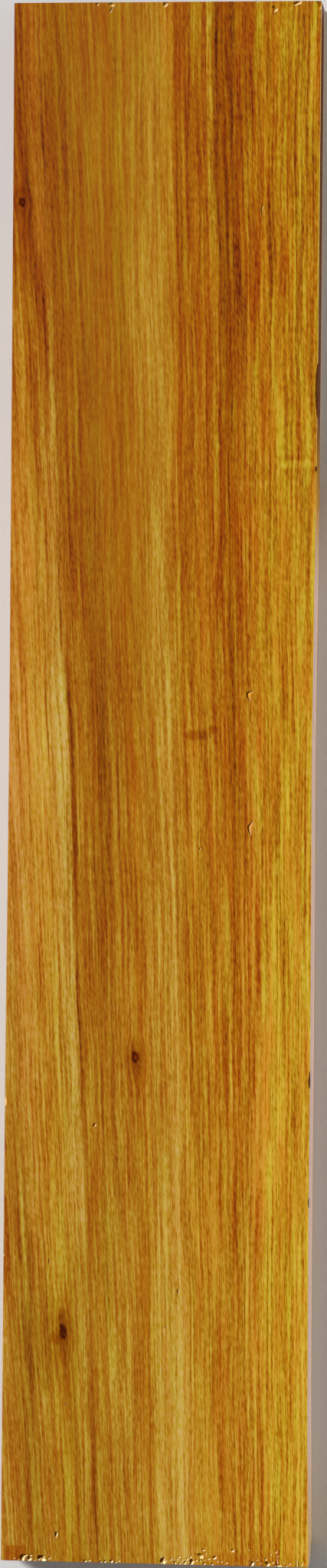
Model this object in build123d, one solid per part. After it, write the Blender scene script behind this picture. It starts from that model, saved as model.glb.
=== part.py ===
from build123d import *
import math
import os

# A wide hardwood plank, one sawn and planed piece that lies flat, show face up.
# X runs across it, Y along its grain and Z up through its thickness.
# The origin is the middle of the underside, and sizes are in millimetres.

# The planed stock
plank_length = 1220.0
plank_width = 241.0
plank_thickness = 45.0

# Wear of the sharp corners: along the grain, and round the two sawn ends
arris_radius = 0.8
end_chamfer = 0.4

# How the knocks are laid out: ACROSS is measured from the left edge and ALONG from
# the near end, as on a tape. A minus counts back from the right edge or the far end.
# LEAN tips a hollow sideways, so that one lip is steep, and TURN swings it on the
# face, both in degrees.

# Chips in the near end's upper arris: REACH is how far each runs in over the face
near_end_chips = {
    "ragged_wide": dict(across=18.0, width=5.4, reach=5.2, depth=2.2, turn=10),
    "ragged_thin": dict(across=22.8, width=3.4, reach=3.6, depth=1.4, turn=-12),
    "left_scoop": dict(across=32.2, width=6.8, reach=5.5, depth=2.6, turn=-12),
    "peck_one": dict(across=66.4, width=2.4, reach=2.2, depth=1.0, turn=0),
    "peck_two": dict(across=81.9, width=2.4, reach=2.2, depth=1.0, turn=-8),
    "peck_three": dict(across=87.0, width=2.4, reach=2.6, depth=1.0, turn=8),
    "round_scoop": dict(across=-113.8, width=5.0, reach=5.3, depth=2.4, turn=0),
    "fork_left": dict(across=-103.8, width=2.0, reach=2.6, depth=1.0, turn=20),
    "fork_right": dict(across=-96.6, width=2.0, reach=3.0, depth=1.0, turn=-20),
    "slant_scoop": dict(across=-91.6, width=3.6, reach=5.2, depth=1.6, turn=-25),
    "low_peck": dict(across=-75.0, width=2.2, reach=2.4, depth=1.0, turn=15),
    "curled_scoop": dict(across=-44.6, width=3.4, reach=4.4, depth=1.6, turn=-15),
    "crossed_scoop": dict(across=-32.0, width=3.6, reach=4.4, depth=1.4, turn=30),
    "low_scoop": dict(across=-23.4, width=6.0, reach=2.7, depth=1.3, turn=0),
}

# Chips in the far end's upper arris
far_end_chips = {
    "thin_tear": dict(across=66.4, width=1.6, reach=2.5, depth=0.8, turn=0),
    "wide_flake": dict(across=76.6, width=7.6, reach=6.6, depth=1.0, turn=12),
    "ring_scoop": dict(across=119.5, width=4.4, reach=3.6, depth=1.2, turn=-30),
    "long_flake": dict(across=-18.0, width=7.0, reach=3.2, depth=1.0, turn=20),
}

# Bruises, gouges and pits in the show face: LENGTH runs along the grain
face_marks = {
    "far_dent": dict(
        across=-35.4, along=-9.0, width=5.4, length=5.6, depth=1.2, lean=18, turn=20
    ),
    "thumbnail": dict(
        across=-45.5, along=1056.7, width=3.6, length=10.0, depth=0.5, lean=16, turn=4
    ),
    "upper_gouge": dict(
        across=-52.9, along=679.4, width=6.0, length=8.0, depth=1.2, lean=20, turn=-8
    ),
    "lower_gouge": dict(
        across=-52.0, along=575.3, width=3.6, length=10.4, depth=0.9, lean=20, turn=6
    ),
    "faint_oval": dict(
        across=-22.7, along=499.2, width=3.8, length=12.4, depth=0.4, lean=6, turn=0
    ),
    "deep_pit": dict(
        across=71.3, along=342.9, width=2.6, length=3.6, depth=1.1, lean=0, turn=-10
    ),
    "oval_pit": dict(
        across=-103.4, along=211.2, width=1.9, length=5.4, depth=0.9, lean=0, turn=4
    ),
    "ring_pit": dict(
        across=-58.9, along=11.8, width=3.0, length=3.4, depth=0.7, lean=10, turn=0
    ),
    "near_pit": dict(
        across=42.9, along=21.9, width=3.0, length=6.0, depth=1.3, lean=14, turn=-6
    ),
    "near_gouge": dict(
        across=-84.0, along=6.2, width=5.6, length=4.6, depth=1.1, lean=12, turn=-30
    ),
    "near_slant": dict(
        across=-72.6, along=5.4, width=3.4, length=4.4, depth=0.9, lean=12, turn=-34
    ),
}

# Splits that open at the near end and close along the grain
end_splits = {
    "inner_split": dict(across=-25.0, width=0.9, length=10.7, depth=2.4),
    "outer_split": dict(across=-7.9, width=0.8, length=10.2, depth=3.0),
}

# A sliver torn out of the right arris: from its middle to the far end, its length,
# and its bite into both faces
torn_sliver_from_far_end = 302.0
torn_sliver_length = 43.0
torn_sliver_bite = 1.8

# Nicks in the long upper arrises, with their bite into both faces
left_nicks = {
    "left_nick": dict(along=366.0, length=9.0, bite=1.6),
}
right_nicks = {
    "right_nick": dict(along=858.0, length=6.0, bite=1.4),
    "right_graze": dict(along=386.0, length=19.0, bite=1.5),
}

# The right edge's corners: at the near end one is broken off from below, and at the
# far end one is bruised from above
near_break_across = 5.0
near_break_along = 18.0
near_break_height = 26.0
far_bruise_width = 9.0
far_bruise_length = 14.0
far_bruise_depth = 1.6

# A nick's blade stands off its arris by this share of the blade's radius
nick_standoff = 0.35

left_edge = -plank_width / 2
right_edge = plank_width / 2
near_end = -plank_length / 2
far_end = plank_length / 2


def planed_stock():
    """The plank before any knock: a rounded section run along the grain."""
    section = Plane.XZ * RectangleRounded(plank_width, plank_thickness, arris_radius)
    stock = Pos(0, 0, plank_thickness / 2) * extrude(section, plank_length / 2, both=True)
    sawn_ends = stock.faces().filter_by(Axis.Y)
    return chamfer(sawn_ends.edges(), end_chamfer)


def on_show_face(across, along):
    """The place on the show face that the two tape readings give."""
    x = left_edge + across if across >= 0 else right_edge + across
    y = near_end + along if along >= 0 else far_end + along
    return Pos(x, y, plank_thickness)


def round_blade(girth_radius, half_length):
    """Half an ellipse turned about the Y axis: a spheroid centred on the origin."""
    curve = EllipticalCenterArc((0, 0), girth_radius, half_length, -90, arc_size=180)
    half = make_face(curve + Line((0, half_length), (0, -half_length)))
    return revolve(half, Axis.Y)


def hollow(width, length, depth, lean=0, turn=0):
    """What a blade scoops out of the plane Z = 0, with the rim width by length.

    The blade's radius is that of the circle whose cap is this wide and this deep.
    """
    radius = (width**2 / 4 + depth**2) / (2 * depth)
    blade = round_blade(radius, radius * length / width)
    return Rot(0, 0, turn) * Rot(0, lean, 0) * Pos(0, 0, radius - depth) * blade


def end_chip(end, across, width, reach, depth, turn):
    """A hollow centred on the upper arris of one end, so that half of it is in wood."""
    place = on_show_face(across, 0) * Pos(0, end - near_end, 0)
    return place * hollow(width, 2 * reach, depth, turn=turn)


def face_mark(across, along, **shape):
    """One hollow in the show face."""
    return on_show_face(across, along) * hollow(**shape)


def end_split(across, width, length, depth):
    """A wedge with its mouth in the near end and its tip on the face.

    Its mouth stands as far above the face as below it, so that the face opens too.
    """
    mouth = Plane.XZ * Rectangle(width, 2 * depth)
    return on_show_face(across, 0) * loft([mouth.face(), Vertex(0, length, 0)])


def arris_nick(side, along, length, bite):
    """A blade along a long upper arris, as deep in the edge as in the face.

    Its axis stands off both faces by the same share of its radius, and its half
    length is such that it leaves the arris at the two ends of the nick.
    """
    bite_share = math.sqrt(1 - nick_standoff**2) - nick_standoff
    radius = bite / bite_share
    half_length = length / 2 / math.sqrt(1 - 2 * nick_standoff**2)
    standoff = nick_standoff * radius
    start = far_end if along < 0 else near_end
    arris = Pos(side * plank_width / 2, start + along, plank_thickness)
    return arris * Pos(side * standoff, 0, standoff) * round_blade(radius, half_length)


def near_corner_break():
    """All that lies past the plane through the break's three corners."""
    corner = Vector(right_edge, near_end, 0)
    in_edge = corner + Vector(0, near_break_along, 0)
    in_end = corner - Vector(near_break_across, 0, 0)
    up = corner + Vector(0, 0, near_break_height)
    normal = (in_edge - in_end).cross(up - in_end).normalized()
    outward = normal if normal.X > 0 else -normal
    past = near_break_across + near_break_along + near_break_height
    return extrude(Plane(in_end, z_dir=outward) * Rectangle(4 * past, 4 * past), past)


def far_corner_bruise():
    """A hollow centred on the upper corner of the far end and the right edge."""
    corner = Pos(right_edge, far_end, plank_thickness)
    return corner * hollow(far_bruise_width, far_bruise_length, far_bruise_depth)


def knocks():
    """Everything that handling has taken off the planed stock."""
    taken = [arris_nick(1, -torn_sliver_from_far_end, torn_sliver_length, torn_sliver_bite)]
    taken += [end_chip(near_end, **chip) for chip in near_end_chips.values()]
    taken += [end_chip(far_end, **chip) for chip in far_end_chips.values()]
    taken += [face_mark(**mark) for mark in face_marks.values()]
    taken += [end_split(**split) for split in end_splits.values()]
    taken += [arris_nick(-1, **nick) for nick in left_nicks.values()]
    taken += [arris_nick(1, **nick) for nick in right_nicks.values()]
    return taken + [near_corner_break(), far_corner_bruise()]


plank = planed_stock()
for knock in knocks():
    plank = plank - knock

os.makedirs("parts", exist_ok=True)
export_step(plank.solid(), "parts/plank.step")
print("Plank volume, litres:", round(plank.volume / 1e6, 3))
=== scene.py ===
# %% [markdown]
# # A wide hardwood plank
#
# One board of golden-brown hardwood, 241 mm wide, 1220 mm long and 45 mm thick. It was
# planed, cut square at both ends and wiped with a thin clear coat, and its corners have
# been knocked about, above all along the near end.
#
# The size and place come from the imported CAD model, which is never changed. X runs
# across the plank, Y along its grain, with the near end at the bottom of the picture,
# and Z up out of the show face.

import math
from types import SimpleNamespace

import bmesh
import bpy
import numpy as np
from mathutils import Matrix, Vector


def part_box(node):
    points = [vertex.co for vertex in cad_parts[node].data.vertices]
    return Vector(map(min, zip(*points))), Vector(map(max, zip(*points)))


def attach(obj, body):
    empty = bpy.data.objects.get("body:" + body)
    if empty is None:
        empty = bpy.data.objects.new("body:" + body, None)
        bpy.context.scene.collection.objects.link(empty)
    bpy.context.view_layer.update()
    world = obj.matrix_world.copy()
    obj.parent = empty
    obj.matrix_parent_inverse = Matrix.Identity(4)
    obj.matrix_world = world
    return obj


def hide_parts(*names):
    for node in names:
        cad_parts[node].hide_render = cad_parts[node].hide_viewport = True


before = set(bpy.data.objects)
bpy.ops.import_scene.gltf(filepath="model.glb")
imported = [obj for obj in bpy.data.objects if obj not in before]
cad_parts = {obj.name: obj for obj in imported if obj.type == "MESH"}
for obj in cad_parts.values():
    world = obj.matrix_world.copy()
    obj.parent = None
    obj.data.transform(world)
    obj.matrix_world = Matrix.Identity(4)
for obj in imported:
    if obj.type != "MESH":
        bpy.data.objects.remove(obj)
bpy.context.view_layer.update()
plank_low, plank_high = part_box("plank")
print("CAD box, metres:", [round(v, 4) for v in plank_high - plank_low])

# %% [markdown]
# ## Sizes and how places are read
#
# Places are read off the photograph, in pixels of its 427x2048 frame, and turned into
# tape readings: millimetres across from the left edge and along from the near end. Both
# of those edges lean a little in the photograph, so each is a straight line here.

# %% Plank sizes and the reading of places
MM = 0.001
WIDTH = 241.0
LENGTH = 1220.0
THICKNESS = 45.0
MM_PER_PIXEL = 0.598
FAR_ROW = 4.0
FACE_ROWS = 2034.0
LEFT_COLUMN_AT_FAR = 18.6
LEFT_LEAN = 17.6
NEAR_ROW_AT_LEFT = 2038.3
NEAR_FALL = 9.0
FIRST_COLUMN = 1.0
FACE_COLUMNS = 401.0


def left_edge_pixel(y):
    """The photo column of the left edge at row y: 18.6 at the far end, 1 at the near."""
    return LEFT_COLUMN_AT_FAR - LEFT_LEAN * (y - FAR_ROW) / FACE_ROWS


def near_end_pixel(x):
    """The photo row of the near end at column x: a line that falls 9 rows."""
    return NEAR_ROW_AT_LEFT + NEAR_FALL * (x - FIRST_COLUMN) / FACE_COLUMNS


def tape(x, y):
    """Photo pixel (x, y) as (across, along) in millimetres on the show face."""
    across = (x - left_edge_pixel(y)) * MM_PER_PIXEL
    along = (near_end_pixel(x) - y) * MM_PER_PIXEL
    return across, along


def rows(names, *table):
    """A table as a list of dictionaries, one per row, with a name for each column."""
    return [dict(zip(names.split(), row)) for row in table]


print("middle of the photo on the tape:", [round(v, 1) for v in tape(213.5, 1024)])

# %% [markdown]
# ## The camera
#
# The photograph was taken from above and a little to the right, from about 3.8 m away
# with a long lens. The face's four corners fix the place, the tilt and the focal length,
# and the thin strip of the right edge fixes how far the camera leans over.

# %% Make the camera
PHOTO_HEIGHT = 2048
FOCAL_PIXELS = 6235.1
SENSOR_WIDTH = 36.0
CAMERA_PLACE = (0.3504, -0.0121, 3.7564)
CAMERA_TURN = (0.215, 5.358, 0.499)


def add_thing(name, data, place=(0, 0, 0), turn=(0, 0, 0)):
    """An object in the scene, at a place in metres and turned by degrees about X, Y, Z."""
    thing = bpy.data.objects.new(name, data)
    thing.location = place
    thing.rotation_euler = [math.radians(angle) for angle in turn]
    bpy.context.scene.collection.objects.link(thing)
    return thing


camera_data = bpy.data.cameras.new("camera")
camera_data.sensor_width = SENSOR_WIDTH
camera_data.lens = FOCAL_PIXELS / PHOTO_HEIGHT * SENSOR_WIDTH
camera = add_thing("camera", camera_data, CAMERA_PLACE, CAMERA_TURN)
bpy.context.scene.camera = camera
print("focal length, mm:", round(camera_data.lens, 2))

# %% [markdown]
# ## Putting surfaces into Blender
#
# Each shape is worked out with numpy as a grid of points whose rows close on themselves,
# like the hoops of a barrel. These helpers turn such a grid into a mesh.

# %% Mesh helpers
def hoop_faces(hoops, around):
    """Faces between neighbouring closed hoops, whose points are numbered hoop by hoop."""
    hoop, step = np.meshgrid(np.arange(hoops - 1), np.arange(around), indexing="ij")
    following = (step + 1) % around
    lower = hoop * around
    upper = lower + around
    corners = [lower + step, lower + following, upper + following, upper + step]
    return np.stack(corners, axis=-1).reshape(-1, 4).tolist()


def add_mesh(name, points, faces):
    """A mesh object at the origin, with its place in its points."""
    mesh = bpy.data.meshes.new(name)
    mesh.from_pydata(points.reshape(-1, 3).tolist(), [], faces)
    mesh.validate()
    mesh.update()
    return add_thing(name, mesh)


def signed_volume(mesh):
    """The volume inside a closed mesh: positive where its faces point outwards."""
    shape = bmesh.new()
    shape.from_mesh(mesh)
    volume = shape.calc_volume(signed=True)
    shape.free()
    return volume


def hoops_to_mesh(name, hoops):
    """A closed object from an array (hoop, step, xyz). One face closes each end, and all
    the faces point outwards."""
    count, around = hoops.shape[:2]
    ends = [list(range(around))[::-1], list(range((count - 1) * around, count * around))]
    thing = add_mesh(name, hoops, hoop_faces(count, around) + ends)
    if signed_volume(thing.data) < 0:
        thing.data.flip_normals()
    return thing


print("faces between two hoops of four points:", len(hoop_faces(2, 4)))

# %% [markdown]
# ## Tools for the materials
#
# A Blender material is a net of small boxes, and long formulas are hard to read there.
# So a thin wrapper turns plain arithmetic into boxes: adding two Wires puts an Add box
# into the net and gives back the Wire that comes out of it.

# %% Wires: arithmetic on nodes
BOXES_PER_COLUMN = 10


def tone(red, green, blue):
    """A colour as a screen shows it, 0 to 255, as the linear light a material needs."""
    screen = np.array([red, green, blue]) / 255
    light = np.where(screen <= 0.04045, screen / 12.92, ((screen + 0.055) / 1.055) ** 2.4)
    return (*light.tolist(), 1.0)


class Wire:
    """One number, colour or place on its way through a material's net."""

    def __init__(self, board, socket):
        self.board = board
        self.socket = socket

    def __add__(self, other):
        return self.board.calc("ADD", self, other)

    def __sub__(self, other):
        return self.board.calc("SUBTRACT", self, other)

    def __rsub__(self, other):
        return self.board.calc("SUBTRACT", other, self)

    def __mul__(self, other):
        return self.board.calc("MULTIPLY", self, other)

    def __truediv__(self, other):
        return self.board.calc("DIVIDE", self, other)


class Board:
    """The net of a material or a sky, with a method for each kind of box in use."""

    def __init__(self, owner):
        owner.use_nodes = True
        self.nodes = owner.node_tree.nodes
        self.links = owner.node_tree.links
        self.made = 0

    def box(self, kind):
        """A new box, laid out in columns of ten."""
        node = self.nodes.new(kind)
        column, place = divmod(self.made, BOXES_PER_COLUMN)
        node.location = (190 * column - 5000, -240 * place)
        self.made += 1
        return node

    def fill(self, node, values):
        """Joins Wires to a box's sockets in order, or writes plain values into them."""
        for socket, value in zip(node.inputs, values):
            self.feed(socket, value)
        return Wire(self, node.outputs[0])

    def feed(self, socket, value):
        """Joins a Wire to a socket, or writes a plain value into it."""
        if isinstance(value, Wire):
            self.links.new(value.socket, socket)
        else:
            socket.default_value = value

    def calc(self, operation, *values):
        """Arithmetic on one, two or three numbers."""
        node = self.box("ShaderNodeMath")
        node.operation = operation
        return self.fill(node, values)

    def place(self, x, y, z):
        """A place made of its three parts."""
        return self.fill(self.box("ShaderNodeCombineXYZ"), (x, y, z))

    def here(self, kind="Object"):
        """The place of the point that is being coloured."""
        return Wire(self, self.box("ShaderNodeTexCoord").outputs[kind])

    def parts(self, vector):
        """The three parts of a place."""
        node = self.box("ShaderNodeSeparateXYZ")
        self.feed(node.inputs[0], vector)
        return [Wire(self, socket) for socket in node.outputs]

    def noise(self, vector, size, detail=1.0, roughness=0.5, shift=(0.0, 0.0, 0.0)):
        """Cloudy noise, 0 to 1, whose lumps are about size along each axis. DETAIL counts
        the finer octaves, ROUGHNESS is each one's share, and SHIFT tells noises apart."""
        spread = self.box("ShaderNodeVectorMath")
        spread.operation = "MULTIPLY_ADD"
        node = self.box("ShaderNodeTexNoise")
        self.feed(node.inputs["Vector"], self.fill(spread, (vector, [1 / part for part in size], shift)))
        node.inputs["Scale"].default_value = 1.0
        node.inputs["Detail"].default_value = detail
        node.inputs["Roughness"].default_value = roughness
        return Wire(self, node.outputs["Fac"])

    def span(self, value, low, high, to_low=0.0, to_high=1.0, smooth=False):
        """Stretches low..high to to_low..to_high and holds it there."""
        node = self.box("ShaderNodeMapRange")
        node.interpolation_type = "SMOOTHSTEP" if smooth else "LINEAR"
        return self.fill(node, (value, low, high, to_low, to_high))

    def mix(self, share, first, second, blend="MIX"):
        """Colour mix: the first where share is 0, the second blended in where it is 1."""
        node = self.box("ShaderNodeMix")
        node.data_type = "RGBA"
        node.blend_type = blend
        self.feed(node.inputs[0], share)
        self.feed(node.inputs[6], first)
        self.feed(node.inputs[7], second)
        return Wire(self, node.outputs[2])

    def ramp(self, value, stops):
        """A colour ramp through (position, colour) stops."""
        node = self.box("ShaderNodeValToRGB")
        band = node.color_ramp
        for element, (position, colour) in zip(band.elements, (stops[0], stops[-1])):
            element.position = position
            element.color = colour
        for position, colour in stops[1:-1]:
            band.elements.new(position).color = colour
        return self.fill(node, (value,))

    def spot(self, first, second, centre, size, edge, strength):
        """An oval of the given full size about a centre: strength inside, 0 outside.
        It goes by the squared distance from the centre, in half sizes, and its soft
        border takes up the given share of it."""
        out_first = self.calc("MULTIPLY_ADD", first, 2 / size[0], -centre[0] * 2 / size[0])
        out_second = self.calc("MULTIPLY_ADD", second, 2 / size[1], -centre[1] * 2 / size[1])
        squared = self.calc("MULTIPLY_ADD", out_first, out_first, out_second * out_second)
        return self.span(squared, 1.0, (1 - edge) ** 2, 0.0, strength, smooth=True)


print("half-way grey on the screen, as linear light:", round(tone(128, 128, 128)[0], 3))

# %% [markdown]
# ## The studio
#
# The plank lies on a pale floor that curves up far away, a profile carried round a
# circle, so that a low view has no hard horizon. A soft sun from the upper left gives
# the chips' short shadows and small glints, and a grey sky fills the rest. It is dark
# straight overhead, where the camera stands, so that the coat doesn't veil the colour. A
# long low panel fills the right side, which the sun leaves in the shade. Together they
# make a colour render about as it is written.

# %% Build the floor sweep and the lights
FLOOR_DROP = 0.0002
FLAT_RINGS = (0.01, 2.0, 10.0)
SWEEP_RADIUS = 26.0
SWEEP_BEND = 6.0
SWEEP_BEND_STEPS = 10
SWEEP_TOP = 14.0
SWEEP_STEPS = 64
FLOOR_COLOUR = (0.72, 0.72, 0.71, 1.0)
FLOOR_ROUGHNESS = 0.9

bend = np.linspace(0.0, np.pi / 2, SWEEP_BEND_STEPS)
bend_out = SWEEP_RADIUS - SWEEP_BEND + SWEEP_BEND * np.sin(bend)
bend_up = SWEEP_BEND - SWEEP_BEND * np.cos(bend)
sweep_out = np.concatenate([FLAT_RINGS, bend_out, [SWEEP_RADIUS]])
sweep_up = np.concatenate([np.zeros(len(FLAT_RINGS)), bend_up, [SWEEP_TOP]])
turn = np.linspace(0.0, 2 * np.pi, SWEEP_STEPS, endpoint=False)
sweep = np.empty((len(sweep_out), SWEEP_STEPS, 3))
sweep[..., 0] = sweep_out[:, None] * np.cos(turn)
sweep[..., 1] = sweep_out[:, None] * np.sin(turn)
sweep[..., 2] = sweep_up[:, None] - FLOOR_DROP
floor_faces = hoop_faces(len(sweep_out), SWEEP_STEPS) + [list(range(SWEEP_STEPS))[::-1]]
floor = add_mesh("floor", sweep, floor_faces)
floor.data.flip_normals()

floor_material = bpy.data.materials.new("pale_floor")
floor_finish = Board(floor_material).nodes["Principled BSDF"].inputs
floor_finish["Base Color"].default_value = FLOOR_COLOUR
floor_finish["Roughness"].default_value = FLOOR_ROUGHNESS
floor.data.materials.append(floor_material)

SUN_STRENGTH = 2.74
SUN_SOFTNESS = 16.0
SUN_TURN = (-24, -36, 0)
sun_data = bpy.data.lights.new("key_sun", "SUN")
sun_data.energy = SUN_STRENGTH
sun_data.angle = math.radians(SUN_SOFTNESS)
add_thing("key_sun", sun_data, turn=SUN_TURN)

FILL_WATTS = 34.0
FILL_LONG = 4.0
FILL_HIGH = 0.5
FILL_PLACE = (3.0, 0.0, 0.35)
FILL_TURN = (0, 90, 0)
fill_data = bpy.data.lights.new("fill_panel", "AREA")
fill_data.energy = FILL_WATTS
fill_data.shape = "RECTANGLE"
fill_data.size = FILL_HIGH
fill_data.size_y = FILL_LONG
fill = add_thing("fill_panel", fill_data, FILL_PLACE, FILL_TURN)
fill.visible_camera = False

SKY_STRENGTH = 0.365
SKY_OVERHEAD = 0.04
SKY_OPENS = 0.60
SKY_CLOSES = 0.93
sky = bpy.data.worlds.new("sky")
sky_board = Board(sky)
upwards = sky_board.parts(sky_board.here("Generated"))[2]
sky_level = sky_board.span(upwards, SKY_OPENS, SKY_CLOSES, SKY_STRENGTH, SKY_OVERHEAD)
background = sky_board.nodes["Background"].inputs
background["Color"].default_value = (1.0, 1.0, 1.0, 1.0)
sky_board.feed(background["Strength"], sky_level)
bpy.context.scene.world = sky
bpy.context.scene.view_settings.view_transform = "Standard"
print("floor sweep faces:", len(floor.data.polygons))

# %% [markdown]
# ## The planed stock
#
# Before any knock the plank is one section, a rectangle with its corners eased by
# 0.8 mm, carried along its length. Both long edges draw in towards the middle, by about
# one millimetre on the left and over two on the right, so each is a smooth curve through
# a few tape readings. At both ends the section shrinks by 0.4 mm, the wear round the saw
# cut. The plank is cut in millimetres and brought to metres at the end, so that its
# small hollows have a good size for the Boolean.

# %% Carry the section along the plank
ARRIS_RADIUS = 0.8
END_WEAR = 0.4
ARRIS_STEPS = 6
STATION_GAP = 20.0
AVERAGE_LONG = 80.0
AVERAGE_SAMPLES = 17

LEFT = -1
RIGHT = 1
inset_at = np.array([0, 60, 130, 270, 415, 520, 630, 700, 775, 845, 920, 1060, 1220.0])
insets = {
    LEFT: np.array([0, 0, 0, 0, 0.1, 0.6, 0.9, 0.8, 0.7, 0.6, 0.5, 0.3, 0.0]),
    RIGHT: np.array([0, 0.7, 1.5, 1.8, 1.6, 1.9, 2.4, 1.9, 1.3, 0.8, 0.3, 0.2, 0.0]),
}


def edge_across(side, along):
    """Across reading of an edge at an along reading: a curve through its insets that is
    level at each of them. Its runs between them are eased in and out by 3t^2 - 2t^3, and
    then averaged over 80 mm."""
    spread = np.linspace(-AVERAGE_LONG / 2, AVERAGE_LONG / 2, AVERAGE_SAMPLES)
    places = np.clip(np.asarray(along, float)[..., None] + spread, 0, LENGTH)
    run = np.clip(np.searchsorted(inset_at, places, side="right") - 1, 0, len(inset_at) - 2)
    share = (places - inset_at[run]) / (inset_at[run + 1] - inset_at[run])
    eased = share * share * (3 - 2 * share)
    values = insets[side]
    inset = (values[run] + (values[run + 1] - values[run]) * eased).mean(axis=-1)
    return inset if side == LEFT else WIDTH - inset


def to_frame(across, along, height):
    """Tape readings as points of the shared frame, still in millimetres."""
    return np.stack([across - WIDTH / 2, along - LENGTH / 2, height], axis=-1)


between = np.arange(STATION_GAP, LENGTH, STATION_GAP)
stations = np.concatenate([[0, END_WEAR], between, [LENGTH - END_WEAR, LENGTH]])
quarter = np.linspace(0, np.pi / 2, ARRIS_STEPS)
round_corner = np.concatenate([quarter + np.pi / 2 * k for k in range(4)])
to_right = np.repeat([1, -1, -1, 1], ARRIS_STEPS)
to_top = np.repeat([1, 1, -1, -1], ARRIS_STEPS)
end_wear = np.where((stations == 0) | (stations == LENGTH), END_WEAR, 0.0)[:, None]
inwards = ARRIS_RADIUS + end_wear
left_side, right_side = (edge_across(side, stations)[:, None] for side in (LEFT, RIGHT))
edge = np.where(to_right > 0, right_side, left_side)
face = np.where(to_top > 0, THICKNESS, 0.0)
across = edge - to_right * inwards + ARRIS_RADIUS * np.cos(round_corner)
height = face - to_top * inwards + ARRIS_RADIUS * np.sin(round_corner)
along = np.broadcast_to(stations[:, None], across.shape)
plank = hoops_to_mesh("plank_wood", to_frame(across, along, height)[:, ::-1])
print("planed stock, litres:", round(signed_volume(plank.data) / 1e6, 3))

# %% [markdown]
# ## Knocks, chips and splits
#
# Wood breaks along its fibres, so most knocks are bowls with a ribbed floor, long along
# the grain and round across it. One small cutter per knock, taken away with a Boolean,
# gives the sharp rims of the real ones. It is a grid of hoops: from the bowl's middle
# out to its rim, on up past the face, and in again over a lid.
#
# Two gouges and two faint prints have another shape, a bracket open to the right: a
# steep wall on its left, and a floor that climbs from the wall's foot to the face.
#
# The rows below give each knock as a maker would measure it: its place in the photo,
# its width, its length along the grain and its depth. LEAN tips a bowl sideways and TURN
# swings it on the face, both in degrees.

# %% The cutters
BOWL_HOOPS = 14
BOWL_STEPS = 44
BOWL_FIRST = 0.04
BOWL_REACH = 1.35
RIBS_END = 1.1
LID_HEIGHT = 1.2
RAGGEDNESS = 0.09
NAIL_HOOPS = 25
NAIL_STEPS = 6
NAIL_WALL = 1.0
NAIL_GAP = 0.1


def turned(points, axis, degrees):
    """Points turned about X (0), Y (1) or Z (2) by an angle, right-handed."""
    cosine, sine = math.cos(math.radians(degrees)), math.sin(math.radians(degrees))
    one, two = (axis + 1) % 3, (axis + 2) % 3
    result = points.copy()
    result[..., one] = points[..., one] * cosine - points[..., two] * sine
    result[..., two] = points[..., one] * sine + points[..., two] * cosine
    return result


def fibre_ribs(x, y, seed):
    """Ribs along the grain, from -1 to 1: three sines across that drift along."""
    drift = 0.25 * np.sin(0.9 * y + seed)
    fine = np.sin(7.9 * (x + drift) + 1.7 * seed)
    middle = np.sin(4.3 * (x - 0.5 * drift) + 2.9 * seed)
    coarse = np.sin(2.1 * (x + drift) + 0.6 * y + 4.1 * seed)
    return (fine + middle + coarse) / 3


def uneven_rim(angle, seed):
    """A rim's distance from the middle as a share of an oval's: 1 and three sines."""
    two = np.sin(2 * angle + 1.3 * seed)
    three = np.sin(3 * angle + 2.1 * seed)
    five = np.sin(5 * angle + seed)
    return 1 + RAGGEDNESS * (two + three + 0.7 * five)


def bowl(width, length, depth, ribs, steep, seed, lean=0, turn=0):
    """A closed cutter with an uneven oval rim. At share s of the rim's size its floor is
    depth (1 - s^steep) below the face, with ribs that fade out towards the rim, then
    come a wall and a lid."""
    share = np.linspace(BOWL_FIRST, BOWL_REACH, BOWL_HOOPS)[:, None]
    angle = np.linspace(0, 2 * np.pi, BOWL_STEPS, endpoint=False)[None, :]
    x = share * width / 2 * np.cos(angle) * uneven_rim(angle, seed)
    y = share * length / 2 * np.sin(angle) * uneven_rim(angle, seed)
    z = -depth * (1 - share**steep)
    z = z + ribs * fibre_ribs(x, y, seed) * np.clip(RIBS_END - share, 0, 1)
    hollow = np.stack([x, y, z], axis=-1)
    lid = hollow[-1:].copy()
    lid[..., 2] = hollow[-1, :, 2].max() + LID_HEIGHT
    return turned(turned(np.concatenate([hollow, lid]), 1, lean), 2, turn)[:, ::-1]


def nail_cut(reach, up, down, depth, turn, bend):
    """A closed cutter like a bracket open to the right. Its rim runs reach * |t|^bend to
    the right of the tip, up along the grain for t = 1 and down for t = -1. A steep wall
    stands below the rim, depth (1 - t^2) high, and the floor climbs from its foot."""
    t = np.linspace(-1, 1, NAIL_HOOPS)[:, None]
    y = np.where(t > 0, up, down) * t
    rim = reach * np.abs(t) ** bend
    deep = depth * (1 - t * t)
    foot = np.minimum(rim + NAIL_WALL * deep, reach)
    climb = np.linspace(0, 1, NAIL_STEPS)[None, :]
    floor_x = foot + (reach + 4 * NAIL_GAP - foot) * climb
    floor_z = 0.4 * NAIL_GAP - deep * (1 - climb)
    past = np.full_like(t, reach + 5 * NAIL_GAP)
    above = np.full_like(t, LID_HEIGHT)
    x = np.concatenate([rim - NAIL_GAP / 2, floor_x, past, rim - NAIL_GAP], axis=1)
    z = np.concatenate([np.full_like(t, NAIL_GAP), floor_z, above, above], axis=1)
    return turned(np.stack([x, np.broadcast_to(y, x.shape), z], axis=-1), 2, turn)


cutters = []


def add_cutter(name, shape, across, along):
    """Lists a cutter, set down on a place of the show face."""
    centre = to_frame(across, along, THICKNESS)
    cutters.append(hoops_to_mesh(name, shape + centre))


print("points in one bowl:", (BOWL_HOOPS + 1) * BOWL_STEPS)

# %% [markdown]
# The near end took most of the blows. X is a chip's middle column in the photo, and
# REACH is how far it runs in over the face. A blow lands a little behind the end, so a
# chip's far wall stands in the wood and its near wall is thin or broken through.

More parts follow.
